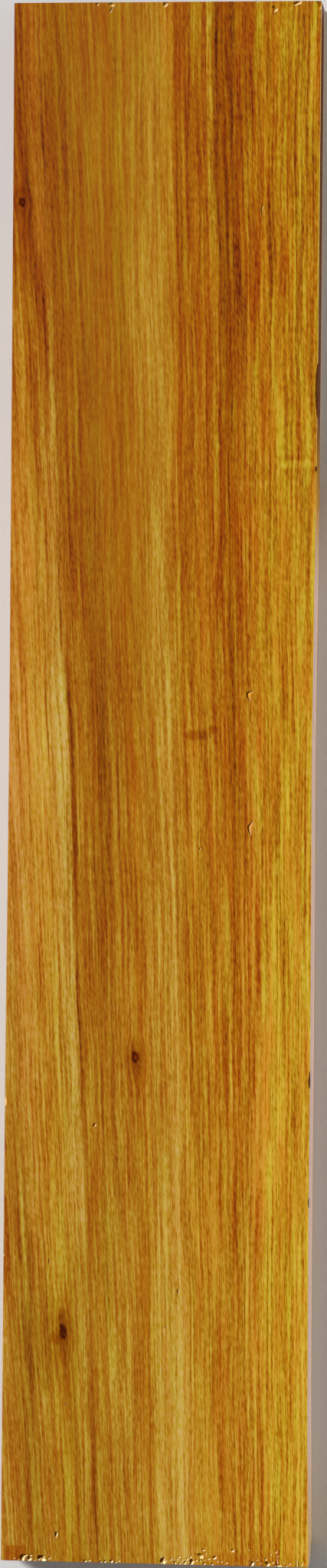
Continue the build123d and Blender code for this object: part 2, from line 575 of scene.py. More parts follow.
# %% Chips of both ends
near_end_chips = rows(
    "name x width reach depth turn",
    ("ragged_wide", 29.4, 4.6, 5.4, 2.4, 10),
    ("ragged_thin", 38.6, 3.4, 4, 1.8, -12),
    ("left_scoop", 54.6, 6.8, 5, 2.8, -12),
    ("peck_one", 112, 2.6, 2.2, 1.2, 0),
    ("peck_two", 132.5, 2, 1.6, 1, -8),
    ("peck_three", 138, 2.4, 2.2, 1.1, -8),
    ("peck_four", 146.5, 2.6, 2.8, 1.2, 8),
    ("peck_five", 152, 1.8, 1.4, 0.9, 8),
    ("round_scoop", 214, 5, 5, 2.6, 0),
    ("fork_left", 230, 2, 2.6, 1.2, 20),
    ("fork_middle", 236, 1.8, 1.8, 1, 0),
    ("fork_right", 243, 2.2, 3.2, 1.2, -20),
    ("slant_scoop", 251.8, 3.8, 4.6, 2, -25),
    ("low_left_peck", 267.9, 2, 2, 1.2, 15),
    ("low_peck", 278.6, 2.2, 1.8, 1, 15),
    ("curled_scoop", 330.6, 3.4, 4, 1.8, -15),
    ("crossed_scoop", 351, 3.2, 4.4, 1.8, 30),
    ("low_scoop", 364.8, 6, 2.2, 1.5, 0),
    ("right_peck", 375.3, 2, 1.4, 1, 0),
)
far_end_chips = rows(
    "name x width reach depth turn",
    ("thin_tear", 128.5, 1.8, 2.8, 1, 0),
    ("wide_flake", 147, 4.4, 3.6, 0.9, 12),
    ("ring_scoop", 217.5, 4.4, 3.8, 1.4, -30),
    ("small_peck", 337, 1.8, 1.4, 0.8, 0),
    ("long_flake", 390.6, 7, 3.2, 1.2, 20),
)
CHIP_RIBS = 0.16
CHIP_STEEP = 2.4
CHIP_LENGTH_PER_REACH = 1.15
CHIP_MIDDLE_PER_REACH = 0.46
FAR_CHIP_SEED = 40
for seed, chip in [*enumerate(near_end_chips), *enumerate(far_end_chips, FAR_CHIP_SEED)]:
    length = CHIP_LENGTH_PER_REACH * chip["reach"]
    shape = bowl(chip["width"], length, chip["depth"], CHIP_RIBS, CHIP_STEEP, seed, 0, chip["turn"])
    from_end = CHIP_MIDDLE_PER_REACH * chip["reach"]
    if seed < FAR_CHIP_SEED:
        chip_across, _ = tape(chip["x"], near_end_pixel(chip["x"]))
        add_cutter(chip["name"], shape, chip_across, from_end)
    else:
        chip_across, _ = tape(chip["x"], FAR_ROW)
        add_cutter(chip["name"], shape, chip_across, LENGTH - from_end)
print("end chips:", len(cutters))

# %% [markdown]
# Small bowls make the pits of the show face, and the pecks and crumbs behind the near
# end. Brackets make the two gouges, the thumbnail print and a faint oval: UP and DOWN
# say how far each runs along the grain from its tip, REACH how far it opens to the
# right, and BEND how round the tip is.

# %% Marks of the show face
pits = rows(
    "name x y width length depth lean turn",
    ("far_dent", 361.5, 16.3, 4.4, 5, 1, -14, 20),
    ("far_slant", 146, 12, 1.6, 4.4, 0.7, 0, -30),
    ("small_dot", 262.8, 1110, 1.6, 2, 0.8, 0, 0),
    ("deep_pit", 124.4, 1469.5, 2.8, 3.8, 1.4, 0, -10),
    ("curved_nick", 65.4, 1648, 1.6, 7, 0.5, -10, 8),
    ("oval_pit", 234.2, 1688, 2, 5.4, 1, 0, 4),
    ("small_speck", 217.9, 1734, 1.4, 2, 0.8, 0, 0),
    ("left_speck", 86.6, 1834.6, 1.3, 2.4, 0.8, 0, 0),
    ("near_pit", 74, 2004.4, 2.4, 5.6, 1.6, -10, -6),
    ("hole", 266.9, 2024.5, 2, 2.2, 1.2, 0, 0),
    ("near_gouge", 263.8, 2032.4, 5.4, 3.6, 1.5, -10, -20),
    ("gouge_drop", 270.3, 2028.8, 1.4, 1.8, 0.8, 0, 0),
    ("near_slant", 282.1, 2034.5, 2.8, 3.4, 1.2, -10, -34),
    ("ring_pit", 305.8, 2025, 3, 3.4, 0.6, -8, 0),
    ("fork_pit", 235.6, 2033.2, 1.6, 2.2, 0.9, 0, 10),
    ("slant_pit", 250.1, 2033.6, 1.6, 2, 0.9, 0, -20),
    ("last_pit", 348.6, 2036.4, 1.5, 2.6, 0.9, 0, 0),
    ("high_pit", 355.3, 2030.1, 1.4, 1.6, 0.8, 0, 0),
    ("left_crumb", 27.2, 2033.4, 2.2, 2.4, 1.1, -8, 12),
    ("right_crumb", 34, 2031.6, 2.2, 2, 1.1, -8, -12),
)
crumbs = [
    (23.8, 2037), (37.6, 2034.4), (35.2, 2036.6), (40.7, 2031.4), (45.5, 2037.6), (60.3, 2037.4),
    (64.5, 2035.4), (19.5, 2035), (118, 2038), (156.5, 2038.6), (218.8, 2039),
    (224.5, 2036.6), (233, 2036.8), (239.4, 2038.4), (246, 2036.2), (248.4, 2040.2),
    (258, 2037.8), (262.8, 2038.8), (269, 2037.6), (274, 2035.6), (285.6, 2039.2),
    (291, 2039.6), (297.5, 2041), (310, 2041.6), (327.6, 2040.4), (337.4, 2037.4),
    (342, 2041.6), (357.6, 2040.4), (372, 2041), (380, 2042.4), (396, 2042.6),
    (326.4, 2024.2), (361.8, 2026.8), (364.4, 2032.4),
]
brackets = rows(
    "name x y reach up down depth turn bend",
    ("thumbnail", 342.1, 276.5, 2.4, 5.4, 6.4, 0.85, -4, 2),
    ("upper_gouge", 322.8, 908.1, 5.4, 4.1, 6.2, 1.5, -15.7, 1.4),
    ("lower_gouge", 324.4, 1082.4, 3.9, 5.7, 7.7, 1.35, -7.9, 1.4),
    ("faint_oval", 372.2, 1209, 3.4, 5.6, 5.8, 0.5, 0, 2.2),
)
CRUMB_SIZE = 1.5
CRUMB_SPREAD = 0.5
CRUMB_DEPTH = 0.45
CRUMB_TURN = 40.0
PIT_RIBS = 0.08
PIT_STEEP = 2.2
PIT_SEED = 70


def crumb_pit(number, x, y):
    """A crumb as a pit: sines of its number vary its size and its turn."""
    size = CRUMB_SIZE + CRUMB_SPREAD * math.sin(2.4 * number)
    swing = CRUMB_TURN * math.sin(1.7 * number)
    return dict(
        name=f"crumb_{number}", x=x, y=y, width=size, length=1.2 * size, depth=CRUMB_DEPTH,
        lean=0, turn=swing,
    )


all_pits = pits + [crumb_pit(number, x, y) for number, (x, y) in enumerate(crumbs)]
for seed, pit in enumerate(all_pits, PIT_SEED):
    shape = bowl(
        pit["width"], pit["length"], pit["depth"], PIT_RIBS, PIT_STEEP, seed, pit["lean"], pit["turn"],
    )
    add_cutter(pit["name"], shape, *tape(pit["x"], pit["y"]))
for nail in brackets:
    shape = nail_cut(
        nail["reach"], nail["up"], nail["down"], nail["depth"], nail["turn"], nail["bend"],
    )
    add_cutter(nail["name"], shape, *tape(nail["x"], nail["y"]))
print("cutters so far:", len(cutters))

# %% [markdown]
# Along the two long arrises a sliver has torn out and a few nicks were struck. The same
# bowl takes them, tipped by 45 degrees so that it bites into face and edge alike.

# %% Nicks of the long arrises and the upper far corner
arris_nicks = rows(
    "name side y length bite",
    ("torn_sliver", RIGHT, 509, 43, 1.9),
    ("right_nick", RIGHT, 613, 6, 1.4),
    ("right_graze", RIGHT, 1410, 17, 1.5),
    ("right_speck", RIGHT, 1568, 12, 0.9),
    ("left_nick", LEFT, 1441, 9, 1.6),
    ("left_speck_nick", LEFT, 1643, 3, 0.9),
)
NICK_LEAN = 45.0
NICK_WIDTH_PER_BITE = 3.2
NICK_DEPTH_PER_BITE = 0.85
NICK_SEED = 110
NICK_COLUMN = 200.0
for seed, nick in enumerate(arris_nicks, NICK_SEED):
    _, nick_along = tape(NICK_COLUMN, nick["y"])
    nick_across = edge_across(nick["side"], nick_along)
    shape = bowl(
        NICK_WIDTH_PER_BITE * nick["bite"], nick["length"], NICK_DEPTH_PER_BITE * nick["bite"],
        CHIP_RIBS, CHIP_STEEP, seed, lean=nick["side"] * NICK_LEAN,
    )
    add_cutter(nick["name"], shape, nick_across, nick_along)
BRUISE_WIDTH = 9.0
BRUISE_LENGTH = 14.0
BRUISE_DEPTH = 1.6
BRUISE_STEEP = 2.0
BRUISE_SEED = 130
bruise = bowl(BRUISE_WIDTH, BRUISE_LENGTH, BRUISE_DEPTH, CHIP_RIBS, BRUISE_STEEP, BRUISE_SEED)
add_cutter("far_corner_bruise", bruise, WIDTH, LENGTH)
print("nicks of the arrises:", len(arris_nicks))

# %% [markdown]
# Four splits open at the near end and close along the grain. Each is a narrow lens that
# is carried along a slightly bent line and shrinks to nothing. The one beside the right
# corner is wide and shallow, because a splinter has come off there. Under that corner a
# wedge has broken away: its cutter is a sheet through the break's three corners,
# roughened along the grain and closed off outside the wood.

# %% Splits and the broken lower corner
end_splits = rows(
    "name x width length depth bend",
    ("inner_split", 363.4, 2.4, 10.5, 1.6, -1),
    ("outer_split", 391.6, 0.9, 7, 2.6, 0),
    ("splinter_split", 388.8, 2.2, 9.5, 1, -0.2),
    ("curl_split", 334.8, 1, 9.5, 1.4, -2.6),
)
SPLIT_HOOPS = 16
SPLIT_STEPS = 12
SPLIT_START = -0.12
SPLIT_LEAST = 0.02
SPLIT_LIFT = 0.2
SPLIT_ROW = 2044.0
for split in end_splits:
    split_across, _ = tape(split["x"], SPLIT_ROW)
    travel = np.linspace(SPLIT_START, 1.0, SPLIT_HOOPS)[:, None]
    opening = np.clip(1 - travel, SPLIT_LEAST, 1.0)
    angle = np.linspace(0, 2 * np.pi, SPLIT_STEPS, endpoint=False)[None, :]
    x = split["width"] / 2 * opening * np.cos(angle) + split["bend"] * travel**2
    y = np.broadcast_to(split["length"] * travel, x.shape)
    z = split["depth"] * opening * np.sin(angle) + SPLIT_LIFT
    add_cutter(split["name"], np.stack([x, y, z], axis=-1), split_across, 0.0)

BREAK_ACROSS = 5.0
BREAK_ALONG = 18.0
BREAK_HEIGHT = 26.0
BREAK_SIDE = 50.0
BREAK_STEPS = 40
BREAK_DEEP = 60.0
corner_in_end = np.array([WIDTH - BREAK_ACROSS, 0.0, 0.0])
corner_in_edge = np.array([WIDTH, BREAK_ALONG, 0.0])
corner_up = np.array([WIDTH, 0.0, BREAK_HEIGHT])
break_normal = np.cross(corner_in_edge - corner_in_end, corner_up - corner_in_end)
break_normal = break_normal / np.linalg.norm(break_normal) * np.sign(break_normal[0])
break_row = (corner_in_edge - corner_in_end) / np.linalg.norm(corner_in_edge - corner_in_end)
break_rise = np.cross(break_normal, break_row)
grid = np.linspace(-BREAK_SIDE, BREAK_SIDE, BREAK_STEPS)
row, rise = np.meshgrid(grid, grid, indexing="ij")
coarse_ribs = 0.5 * fibre_ribs(rise * 0.5, row * 0.3, 3.0)
fine_ribs = 0.2 * fibre_ribs(rise * 1.4, row * 0.4, 8.0)
near_sheet = (corner_in_end + corner_in_edge + corner_up) / 3
near_sheet = near_sheet + row[..., None] * break_row + rise[..., None] * break_rise
near_sheet = near_sheet + (coarse_ribs + fine_ribs)[..., None] * break_normal
far_sheet = near_sheet + BREAK_DEEP * break_normal
break_hoops = np.concatenate([near_sheet, far_sheet[:, ::-1]], axis=1)
cutters.append(hoops_to_mesh("broken_corner", to_frame(*np.moveaxis(break_hoops, -1, 0))))
print("cutters in all:", len(cutters))

# %% [markdown]
# ## Taking the knocks out
#
# One Boolean per cutter takes the knocks out. The stock's faces have material number 0
# and the cutters' faces number 1, and the Boolean keeps the numbers, so that torn wood
# can have its own finish. Afterwards the wide planed faces are shaded flat, the hollows
# smooth, and every rim stays sharp.
#
# Torn wood gets painted light by the side that each wall leans to. So each corner of a
# face gets a number, PAINTED LIGHT SIDE: up to 1 on a wall that leans towards the light,
# which takes a painted highlight, down to -1 on a wall that leans away from it, which
# takes painted shade.

# %% Cut, then sort the faces
TORN = 1
SAWN = 2
EDGE = 3
SAWN_LEAST = 0.9
EDGE_LEAST = 0.7
SHARP_ANGLE = 38.0
FLAT_TOLERANCE = 0.002
FIELD_FROM_END = 28.0
# Light directions and ranges of lean for the torn wood's painted highlight and painted shade.
LIGHT_IN_FIELD = (-0.85, 0.35, 0.0)
LIGHT_AT_END = (-0.60, 0.66, 0.0)
HIGHLIGHT_RANGE_IN_FIELD = (0.20, 0.70)
HIGHLIGHT_RANGE_AT_END = (0.12, 0.42)
HIGHLIGHT_IN_FIELD = 0.45
HIGHLIGHT_AT_NEAR_END = 1.0
HIGHLIGHT_AT_FAR_END = 0.65
SHADE_RANGE = (0.16, 0.50)
slot_names = ("planed_wood", "torn_wood", "sawn_end", "side_wood")
blank_materials = [bpy.data.materials.new(slot) for slot in slot_names]
for thing in [plank, *cutters]:
    for material in blank_materials:
        thing.data.materials.append(material)
for cutter in cutters:
    cutter.data.polygons.foreach_set("material_index", np.full(len(cutter.data.polygons), TORN))
    knife = plank.modifiers.new(cutter.name, "BOOLEAN")
    knife.operation = "DIFFERENCE"
    knife.solver = "MANIFOLD"
    knife.object = cutter
depsgraph = bpy.context.evaluated_depsgraph_get()
cut_mesh = bpy.data.meshes.new_from_object(plank.evaluated_get(depsgraph))
cut_mesh.transform(Matrix.Scale(MM, 4))
plank.modifiers.clear()
plank.data = cut_mesh
for cutter in cutters:
    bpy.data.objects.remove(cutter)
print("cut plank, litres:", round(signed_volume(cut_mesh) * 1000, 3))


def read_all(items, name, parts=1, kind=np.float64):
    """One property of every item of a mesh, as an array with a row per item."""
    values = np.empty(len(items) * parts, dtype=kind)
    items.foreach_get(name, values)
    return values.reshape(-1, parts) if parts > 1 else values


def painted_light_by_lean(light, brightest, highlight_range):
    """Painted light for each corner: a painted highlight up to brightest where the corner
    leans towards the light, painted shade down to -1 where it leans away. Each grows in a
    straight line over its range of leans."""
    lean = corner_normals @ np.array(light)
    pale = np.interp(lean, highlight_range, (0, 1))
    return brightest * pale - np.interp(-lean, SHADE_RANGE, (0, 1))


normals = read_all(cut_mesh.polygons, "normal", 3)
material_of = read_all(cut_mesh.polygons, "material_index", kind=np.int32)
planed = material_of != TORN
material_of[planed & (np.abs(normals[:, 1]) > SAWN_LEAST)] = SAWN
material_of[planed & (np.abs(normals[:, 0]) > EDGE_LEAST)] = EDGE
cut_mesh.polygons.foreach_set("material_index", material_of)
cut_mesh.polygons.foreach_set("use_smooth", np.ones(len(material_of), dtype=bool))
cut_mesh.set_sharp_from_angle(angle=math.radians(SHARP_ANGLE))

corner_normals = read_all(cut_mesh.corner_normals, "vector", 3, np.float32)
corner_points = read_all(cut_mesh.loops, "vertex_index", kind=np.int32)
corner_places = read_all(cut_mesh.vertices, "co", 3)[corner_points] / MM
heights = corner_places[:, 2]
face_sizes = read_all(cut_mesh.polygons, "loop_total", kind=np.int32)
face_starts = np.concatenate([[0], np.cumsum(face_sizes)[:-1]])
lowest = np.repeat(np.minimum.reduceat(heights, face_starts), face_sizes)
highest = np.repeat(np.maximum.reduceat(heights, face_starts), face_sizes)
corner_normals[lowest > THICKNESS - FLAT_TOLERANCE] = (0, 0, 1)
corner_normals[highest < FLAT_TOLERANCE] = (0, 0, -1)

in_field = LENGTH / 2 - np.abs(corner_places[:, 1]) > FIELD_FROM_END
highlight_at_end = np.where(corner_places[:, 1] < 0, HIGHLIGHT_AT_NEAR_END, HIGHLIGHT_AT_FAR_END)
# Painted light: a painted highlight on walls leaning towards the light, painted shade on walls leaning
# away.
painted_light_in_field = painted_light_by_lean(LIGHT_IN_FIELD, HIGHLIGHT_IN_FIELD, HIGHLIGHT_RANGE_IN_FIELD)
painted_light_at_end = painted_light_by_lean(LIGHT_AT_END, highlight_at_end, HIGHLIGHT_RANGE_AT_END)
painted_light_side = np.where(in_field, painted_light_in_field, painted_light_at_end)
painted_light_layer = cut_mesh.attributes.new("painted_light_side", "FLOAT", "CORNER")
painted_light_layer.data.foreach_set("value", painted_light_side)
cut_mesh.normals_split_custom_set(corner_normals.tolist())
print("plank faces:", len(material_of), "torn:", int((material_of == TORN).sum()))

# %% [markdown]
# ## Where a point lies in the tree
#
# Every line on the plank was once a growth ring, so the pattern is worked out inside the
# wood and simply shows up on whichever face was cut. The pith lay to the left of the
# plank and a little below it. A point's distance from the pith is turned into RING, the
# across reading that the same ring has on the show face at the far end. Towards the near
# end the rings drift to the right, by 62 mm on the left edge and hardly at all on the
# right one, and slow and quick wobbles keep a line from being ruled straight.
#
# Three pin knots, the ends of twigs that the trunk grew around, push the rings apart:
# near a knot the ring reading is drawn towards the knot's own, so that the lines bow
# around it. The knots themselves are drawn in readings that the quick wobble shakes a
# good deal more, which frays their outlines.

# %% The grain's own coordinates
PITH_ACROSS = -300.0
PITH_HEIGHT = -40.0
DRIFT = 62.0
SQUEEZE = 0.232
SLOW_WOBBLE = 7.0
MIDDLE_WOBBLE = 3.0
QUICK_WOBBLE = 0.9
RAGGED_WOBBLE = 6.0
BOW_WIDE = 3.2
BOW_LONG = 4.2
BOW_STRENGTH = 0.55
SLOW_NOISE = dict(size=(70.0, 240.0, 90.0))
MIDDLE_NOISE = dict(size=(16.0, 60.0, 20.0), shift=(3.1, 5.2, 0.4))
QUICK_NOISE = dict(size=(2.6, 12.0, 2.6), shift=(8.3, 1.2, 4.4))
knots = rows(
    "x y wide long",
    (29.4, 260, 11, 15), (178.4, 1382, 12, 19), (83.9, 1740, 10, 22),
)


def ring_at(across, along):
    """The ring reading of a place on the show face, without the wobbles."""
    gone = 1 - along / LENGTH
    return (across - DRIFT * gone) / (1 - SQUEEZE * gone)


def resized(spot, wide, long):
    """The same spot, so many times as wide and as long."""
    return dict(spot, wide=spot["wide"] * wide, long=spot["long"] * long)


def grain_spot(board, ring, along, spot, edge):
    """How much an oval covers, 0 to 1. Its middle, its width and its length are in photo
    pixels, and it is laid down in grain coordinates."""
    spot_across, spot_along = tape(spot["x"], spot["y"])
    centre = (ring_at(spot_across, spot_along), spot_along)
    stretch = 1 - SQUEEZE * (1 - spot_along / LENGTH)
    size = (spot["wide"] * MM_PER_PIXEL / stretch, spot["long"] * MM_PER_PIXEL)
    return board.spot(ring, along, centre, size, edge, 1.0)


def grain_coordinates(board):
    """Wires for ring, along and height, for on_face, the across reading that a place's
    ring has on the show face there, and the frayed pair for knots. All in millimetres."""
    x, y, z = board.parts(board.here())
    across = x / MM + WIDTH / 2
    along = y / MM + LENGTH / 2
    height = z / MM
    from_pith = across - PITH_ACROSS
    above_pith = height - PITH_HEIGHT
    face_rise = THICKNESS - PITH_HEIGHT
    squared = from_pith * from_pith + above_pith * above_pith - face_rise**2
    on_face = board.calc("SQRT", squared) + PITH_ACROSS
    gone = 1 - along / LENGTH
    ring = (on_face - gone * DRIFT) / (1 - gone * SQUEEZE)
    place = board.place(on_face, along, height)
    slow = board.noise(place, **SLOW_NOISE) - 0.5
    middle = board.noise(place, **MIDDLE_NOISE) - 0.5
    quick = board.noise(place, **QUICK_NOISE) - 0.5
    straight = ring + slow * SLOW_WOBBLE
    ring = straight + middle * MIDDLE_WOBBLE + quick * QUICK_WOBBLE
    for knot in knots:
        own_ring = ring_at(*tape(knot["x"], knot["y"]))
        share = grain_spot(board, straight, along, resized(knot, BOW_WIDE, BOW_LONG), 1.0)
        ring = ring - share * BOW_STRENGTH * (ring - own_ring)
    frayed = (straight + quick * RAGGED_WOBBLE, along - quick * RAGGED_WOBBLE)
    return SimpleNamespace(ring=ring, along=along, height=height, on_face=on_face, frayed=frayed)


print("rings of the knots:", [round(ring_at(*tape(knot["x"], knot["y"])), 1) for knot in knots])

# %% [markdown]
# ## Two dials for the colour of wood
#
# The plank's colours all lie near one path, from a dark orange-brown over honey to a
# pale tan. So one dial, LIGHT, says how far along that path a place is, and a second
# one, OLIVE, turns the colour from orange to olive. Bands, streaks and single fibres
# only turn the dials up or down, and the colour is mixed once at the end.

# %% Palette
DIAL_LOW = -8.0
DIAL_HIGH = 16.0
DIAL_RANGE = DIAL_HIGH - DIAL_LOW
light_path = [
    (-8.0, tone(70, 24, 0)),
    (-4.0, tone(116, 50, 2)),
    (0.0, tone(146, 74, 4)),
    (2.5, tone(160, 91, 8)),
    (5.0, tone(172, 110, 14)),
    (7.5, tone(184, 130, 25)),
    (10.0, tone(198, 152, 44)),
    (16.0, tone(222, 184, 84)),
]
OLIVE_GREEN = 1.034
OLIVE_BLUE = 1.05


def dial_position(value):
    """Where a dial reading from -8 to 16 lies on a ramp that runs from 0 to 1."""
    return (value - DIAL_LOW) / DIAL_RANGE


def mixed_colour(board, light, olive, blue_share):
    """The colour for both dials: a place on the path, then more or less green and blue."""
    position = board.span(light, DIAL_LOW, DIAL_HIGH)
    path = board.ramp(position, [(dial_position(value), colour) for value, colour in light_path])
    green = board.calc("POWER", OLIVE_GREEN, olive)
    blue = board.calc("POWER", OLIVE_BLUE, olive) * blue_share
    return board.mix(1.0, path, board.place(1.0, green, blue), "MULTIPLY")


print("colours on the path:", len(light_path))

# %% [markdown]
# ## Broad bands, ring by ring
#
# The wood changes ring by ring, and a band may grow paler on its way along the plank. So
# the bands are listed three times, near the far end, half way and near the near end:
# where a band starts, by its ring reading, and its two dials. The material blends from
# one list to the next. Where two readings stand close together, the border is sharp, as
# at the end of a season. A fourth list says how much blue the wood keeps.

# %% The bands from the pith outwards
FIRST_RING = -90.0
LAST_RING = 250.0
far_bands = [
    (-90, 3, 0), (-20, 1.4, -2), (0, -0.4, -1), (7, 0.4, 0), (9, 3, -4), (15, 3.4, -5), (17, 1.8, 0),
    (26, 0.2, 3), (35, 0.2, 2.5), (38.5, 2, 5), (48, 2, 3.5), (52, 2.4, 3), (70, 3.2, 0.5),
    (73, 2.5, 6), (79, 3.2, 6), (81, 4, 4), (99, 4.9, 4), (101, 5.6, 3.5), (112, 6.4, 4),
    (113.5, 6.2, 1.5), (123, 6, -1), (125, 2, -1.5), (128, 2.6, -3.5), (150, 3, -2),
    (152, 6, 2), (155.5, 5, 3), (157.5, 0.2, 0.5), (170, -0.4, -1), (181, 3.2, -4),
    (195, 4.4, -4), (208, 6, 1), (241, 6, 0),
]
middle_bands = [
    (-45, 8.2, -5.5), (-30, 9.6, -7), (-15, 10, -4), (0, 9.8, -1), (9, 8.8, 1), (12, 8.8, 4),
    (19.5, 8.6, 5), (22, 1.6, 0), (26, 4.6, 0), (32, 4, 1.5), (38, 2.8, 2), (42, 0.8, 2.5), (50, 1, 3),
    (58, 3, 2.5), (78, 3.4, -2.5), (96, 5, 2), (99, 6.6, 1.5), (111, 7.6, 2), (112.5, 5, 0.5),
    (122, 5.7, 0), (124, 2.8, -1), (126.5, 5, -2.5), (140, 6, -3), (150, 5, -3), (161, 4.2, -5.5),
    (165, 2, -4.5), (168, 4.6, -4.5), (180, 6.8, -5), (197, 8.8, -1), (210, 8.6, 2),
    (225, 9, -1), (241, 10, -1),
]
near_bands = [
    (-90, 5, 0), (-72, 5, 1), (-58, 4.2, 3), (-56, 3, 6), (-36, 1.6, 10), (-33, 4, 5.5),
    (-15, 4.8, 4.5), (0, 3.4, 8), (7, 3.6, 8), (9, 4.8, 7), (13, 4.6, 7), (16, 3.2, 5),
    (21.5, 2, 4), (24, 4.2, 4.5), (34, 4.8, 5), (40, 6, 6), (60, 6, 3), (76, 4.6, 1),
    (79, 7.4, 3.7), (97, 8.2, 3.5), (110, 9.6, 3.5), (112, 8.4, 1), (120, 8.2, 0), (135, 7.2, 0),
    (148, 6.2, -2.5), (158, 7, -1.5), (166, 7.4, -2), (182, 8.1, -2), (196, 9.3, -1), (210, 9.2, 2),
    (225, 10.6, 2), (241, 11.5, -1),
]
blue_shares = [
    (-90, 1.6), (-30, 1.4), (-14, 0.95), (0, 0.95), (11, 1.4), (19, 1.5), (26, 1.15), (50, 1.25),
    (70, 1.15), (75, 0.95), (81, 0.95), (86, 1.2), (100, 1.1), (108, 1.25), (120, 0.85),
    (126, 0.75), (178, 0.7), (190, 0.52), (212, 0.42), (225, 0.5), (241, 0.5),
]
FAR_LIST_AT = 1114.0
MIDDLE_LIST_AT = 620.0
NEAR_LIST_AT = 117.0


def ring_ramp(board, position, stops):
    """A ramp over the rings: a colour for each ring reading, as (ring, colour) stops."""
    ring_range = LAST_RING - FIRST_RING
    return board.ramp(position, [((ring - FIRST_RING) / ring_range, part) for ring, part in stops])


def band_dials(board, position, bands):
    """Both dials of one list, as a ramp: LIGHT is kept in its red and OLIVE in its green."""
    return ring_ramp(board, position, [
        (ring, (dial_position(light), dial_position(olive), 0.0, 1.0)) for ring, light, olive in bands
    ])


print("bands listed:", len(far_bands), len(middle_bands), len(near_bands))

# %% [markdown]
# ## Streaks, lines and knots
#
# The streaks over the bands that catch the eye are listed by what the photograph shows:
# the middle of each in photo pixels, its width across, its length along, and how far it
# turns the two dials. Each is an oval in grain coordinates, so that it follows the
# rings. Checks, the short cracks along the grain, are thin and dark ones.

# %% Streaks
streaks = rows(
    "x y wide long light olive",
    (55, 450, 17, 340, -3.6, -1), (40, 300, 14, 260, -2.4, -1), (24, 440, 18, 240, 2.5, 2),
    (262, 500, 10, 520, 0.4, -5), (240, 150, 6, 380, 1.5, -5), (275, 150, 4, 320, 1.2, 2),
    (159, 450, 8, 300, -0.6, 3), (24, 750, 6, 300, -1.6, -3), (206, 740, 18, 460, 1, 1),
    (268, 760, 8, 360, 0.4, -4), (97, 1050, 8, 420, -3.5, 0), (138, 1050, 20, 380, -2, 4),
    (177, 1050, 7, 300, 0.5, -5), (252, 1050, 14, 360, 2.2, 1), (99, 1350, 13, 420, 0.8, 1),
    (173, 1295, 7, 150, 4, 1), (185, 1350, 7, 300, 0.6, -5), (277, 1350, 11, 300, 1.6, 3),
    (302, 1350, 4, 260, 3, 3), (36, 1630, 26, 300, 0.5, 4), (43, 1650, 13, 130, -3.4, -2),
    (140, 1650, 13, 320, -1.6, 3), (112, 1790, 7, 150, 2.4, 2), (124, 1940, 8, 260, -2.4, 0),
    (62, 1748, 76, 170, -3, 4), (98, 1560, 44, 190, 2.4, -1), (352, 1450, 60, 460, 2.2, 0),
    (30, 650, 34, 360, 2.6, -3), (186, 420, 44, 320, 1.8, -1), (31, 300, 9, 80, -2.4, -4),
    (29, 236, 10, 50, -1.6, -2), (173, 1356, 9, 52, 2, 1), (181, 1412, 9, 60, -2.2, -2),
    (75, 1748, 22, 22, -2.6, -3), (70, 1722, 20, 22, -1.4, -2), (87, 1706, 9, 70, -1.8, -2),
    (260, 962, 48, 17, -4.4, 0), (280, 955, 17, 14, -5, -1), (386, 611, 62, 16, 2, 3),
    (384, 602, 58, 10, -1.4, -2),
)
dark_lines = rows(
    "x y wide long light",
    (231.5, 150, 5, 420, -1.6), (262, 150, 3, 420, -1.6), (297, 300, 4, 900, -2.6),
    (354, 260, 4, 700, -3.6), (377, 200, 3, 500, -2.6), (388, 300, 3, 700, -3.6),
    (395, 300, 2.5, 600, -3), (403, 300, 2.5, 600, -3.6), (411, 300, 2.5, 600, -3.6),
    (37, 460, 4, 160, -3.4), (80, 815, 3, 90, -7), (33, 648, 2.5, 50, -6), (62.6, 940, 2.5, 170, -7),
    (39, 1067, 2.5, 110, -6), (302, 780, 4, 420, -3.5), (351, 1050, 2.5, 300, -4),
    (51.7, 1266, 2.5, 120, -7), (106, 1350, 3.5, 300, -5), (311, 1350, 3, 340, -4),
    (332, 1350, 3, 340, -4), (47, 1520, 2.5, 110, -6), (195, 1660, 3, 320, -3.6),
    (316.7, 1663, 3, 40, -8), (201, 1900, 3, 300, -3), (249, 1350, 4, 360, -2.4),
    (327.6, 1102, 2.6, 30, -5),
)
STREAK_EDGE = 0.75
LINE_EDGE = 0.8
KNOT_EDGE = 0.55
HEART_EDGE = 0.6
KNOT_RIM_LIGHT = -8.0
KNOT_OLIVE = -8.0
KNOT_HALO_LIGHT = -4.0
KNOT_HALO_WIDE = 2.2
KNOT_HALO_LONG = 3.4
KNOT_HEART = 0.5
KNOT_HEART_LIGHT = 3.5
STAIN_LIGHT = -2.6
STAIN_OLIVE = -6.0
LEFT_STAIN_ALONG = (12.4, 11.4)
LEFT_STAIN_START = (3.6, 4.6)
LEFT_STAIN_END = (23.0, 13.0)
RIGHT_STAIN_ALONG = (12.0, 7.0)
RIGHT_STAIN_START = (156.0, 168.0)
RIGHT_STAIN_SHARE = 0.4


def add_to(wire, share, strength):
    """A wire with so much of a share added."""
    return wire.board.calc("MULTIPLY_ADD", share, strength, wire)


